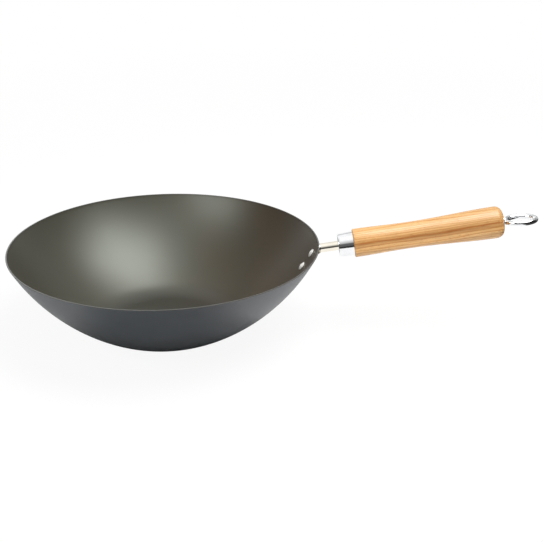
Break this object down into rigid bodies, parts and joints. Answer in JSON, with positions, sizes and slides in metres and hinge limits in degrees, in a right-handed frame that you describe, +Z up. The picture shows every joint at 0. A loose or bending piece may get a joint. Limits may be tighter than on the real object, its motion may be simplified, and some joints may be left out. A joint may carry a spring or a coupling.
{
  "type": "carbon steel wok",
  "caption": "flat-based carbon steel wok with a long turned wooden handle, riveted tang, chromed ferrule and a steel hanging loop at the handle's end",
  "frame": {"origin": "centre of the flat underside of the base, on the surface that the wok stands on", "axes": "+X out along the handle, +Z up out of the bowl's mouth, +Y square to both"},
  "size_m": [0.5618, 0.3294, 0.1308],
  "materials": {
    "coated_carbon_steel": "satin",
    "chrome_plate": "polished",
    "bright_steel": "polished",
    "zinc_plated_steel": "satin",
    "lacquered_wood": "gloss"
  },
  "bodies": {
    "root": {"bowl": "coated_carbon_steel", "tang": "chrome_plate", "rivets": "bright_steel", "ferrule": "chrome_plate", "seat_washer": "zinc_plated_steel", "tie_rod": "zinc_plated_steel", "grip": "lacquered_wood", "end_washer": "bright_steel", "hanging_loop": "chrome_plate"}
  },
  "joints": []
}
